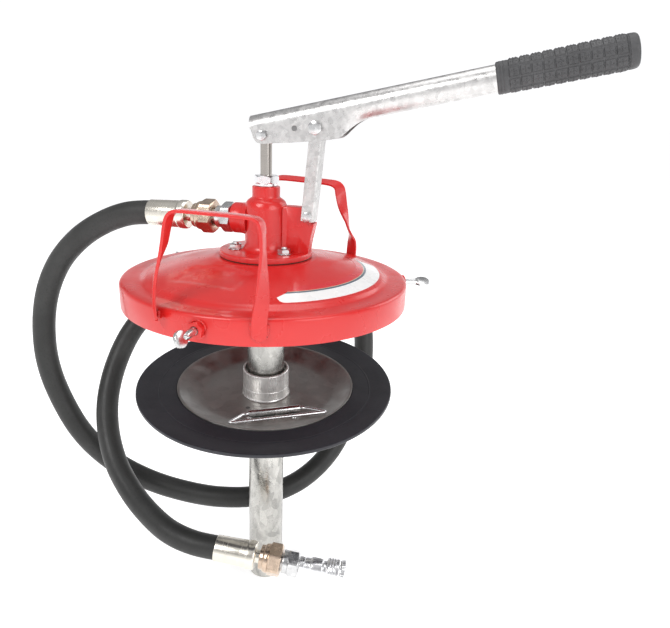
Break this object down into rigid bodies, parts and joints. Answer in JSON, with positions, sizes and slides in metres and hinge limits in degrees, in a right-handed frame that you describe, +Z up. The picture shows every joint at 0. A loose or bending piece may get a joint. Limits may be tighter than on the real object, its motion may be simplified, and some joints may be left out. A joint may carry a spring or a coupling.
{
  "type": "hand-lever drum pump for gear oil or grease",
  "caption": "Hand-lever filler pump on a red pail lid with steel pump tube, rubber-edged follower disc, side outlet and black delivery hose.",
  "frame": {"origin": "on the pump axis, at the level of the lid's flat underside that rests on the pail rim", "axes": "+Z up along the pump tube, +X towards the lever's grip, outlet towards -X, carry handles towards -Y and +Y"},
  "size_m": [0.6797, 0.4197, 0.6616],
  "materials": {
    "red_paint": "glossy red enamel",
    "zinc_plate": "bright zinc plate",
    "galvanised": "galvanised, softly mottled",
    "bright_steel": "polished or ground steel",
    "plate_zinc": "mottled zinc plate on sheet steel",
    "yellow_zinc": "yellow passivated zinc",
    "grip_rubber": "moulded black rubber, satin",
    "hose_rubber": "black hose cover, satin",
    "lip_rubber": "smooth black rubber sheet",
    "seal_rubber": "black nitrile",
    "gasket_fibre": "dark gasket sheet",
    "packing_yarn": "braided packing"
  },
  "bodies": {
    "frame": {"lid_cover": "red_paint", "carry_handle_front": "red_paint", "carry_handle_rear": "red_paint", "weld_nut_1": "red_paint", "weld_nut_2": "red_paint", "weld_nut_3": "red_paint", "flange_gasket": "gasket_fibre", "pump_head_casting": "red_paint", "head_bolt_1": "zinc_plate", "head_bolt_2": "zinc_plate", "head_bolt_3": "zinc_plate", "head_nut_1": "zinc_plate", "head_nut_2": "zinc_plate", "head_nut_3": "zinc_plate", "gland_nut": "bright_steel", "gland_packing": "packing_yarn", "pump_tube": "galvanised", "foot_valve_body": "zinc_plate", "ball_stop_pin": "bright_steel", "pivot_bolt_link": "zinc_plate", "pivot_nut_link": "zinc_plate", "outlet_adapter": "zinc_plate", "swivel_nut_near": "yellow_zinc", "ferrule_near": "bright_steel", "hose": "hose_rubber", "ferrule_far": "bright_steel", "swivel_nut_far": "yellow_zinc", "adapter_far": "zinc_plate", "coupler_body": "bright_steel"},
    "thumb_screw_a": {"thumb_screw_1": "zinc_plate"},
    "thumb_screw_b": {"thumb_screw_2": "zinc_plate"},
    "thumb_screw_c": {"thumb_screw_3": "zinc_plate"},
    "rod": {"piston_rod": "bright_steel", "piston": "zinc_plate", "piston_seal": "seal_rubber", "piston_nut": "zinc_plate"},
    "rod_valve": {"piston_valve_disc": "bright_steel"},
    "foot_ball": {"foot_valve_ball": "bright_steel"},
    "link": {"link": "galvanised"},
    "lever": {"lever": "galvanised", "grip": "grip_rubber", "pivot_bolt_rod": "zinc_plate", "pivot_nut_rod": "zinc_plate", "pivot_bolt_lever": "zinc_plate", "pivot_nut_lever": "zinc_plate"},
    "follower": {"follower_plate": "plate_zinc", "follower_lip": "lip_rubber", "follower_backing_ring": "plate_zinc", "follower_collar": "bright_steel", "follower_screw_1": "zinc_plate", "follower_screw_2": "zinc_plate", "follower_screw_3": "zinc_plate", "bail_sleeve": "zinc_plate"},
    "bail": {"bail": "bright_steel"},
    "coupler_sleeve": {"coupler_sleeve": "bright_steel"}
  },
  "joints": [
    {"name": "lever_pivot", "type": "hinge", "parent": "link", "child": "lever", "pos_m": [0.0583, 0, 0.1652], "axis": [0, -1, 0], "range_deg": [-15, 20]},
    {"name": "link_pivot", "type": "hinge", "parent": "frame", "child": "link", "pos_m": [0.0503, 0, 0.0726], "axis": [0, -1, 0], "range_deg": [-2.4, 3.2]},
    {"name": "rod_slide", "type": "slide", "parent": "frame", "child": "rod", "axis": [0, 0, 1], "range_m": [-0.0227, 0.0171]},
    {"name": "rod_valve_lift", "type": "slide", "parent": "rod", "child": "rod_valve", "axis": [0, 0, 1], "range_m": [0, 0.0045]},
    {"name": "foot_ball_lift", "type": "slide", "parent": "frame", "child": "foot_ball", "axis": [0, 0, 1], "range_m": [0, 0.004]},
    {"name": "thumb_turn_a", "type": "hinge", "parent": "frame", "child": "thumb_screw_a", "pos_m": [-0.00837, -0.15978, -0.012], "axis": [-0.0523, -0.9986, 0], "continuous": true},
    {"name": "thumb_turn_b", "type": "hinge", "parent": "frame", "child": "thumb_screw_b", "pos_m": [0.14256, 0.07264, -0.012], "axis": [0.891, 0.454, 0], "continuous": true},
    {"name": "thumb_turn_c", "type": "hinge", "parent": "frame", "child": "thumb_screw_c", "pos_m": [-0.13419, 0.08714, -0.012], "axis": [-0.8387, 0.5446, 0], "continuous": true},
    {"name": "follower_slide", "type": "slide", "parent": "frame", "child": "follower", "axis": [0, 0, 1], "range_m": [-0.125, 0.095]},
    {"name": "bail_swing", "type": "hinge", "parent": "follower", "child": "bail", "pos_m": [0.02668, -0.04588, -0.14511], "axis": [-0.8663, -0.4994, -0.0148], "range_deg": [0, 130]},
    {"name": "sleeve_retract", "type": "slide", "parent": "frame", "child": "coupler_sleeve", "axis": [-0.9869, -0.1238, 0.1037], "range_m": [0, 0.003], "stiffness_N_per_m": 1500, "springref_m": -0.002}
  ],
  "couplings": [
    {"joint": "link_pivot", "follows": "lever_pivot", "ratio": 0.155},
    {"joint": "rod_slide", "follows": "lever_pivot", "m_per_rad": -0.06445}
  ]
}
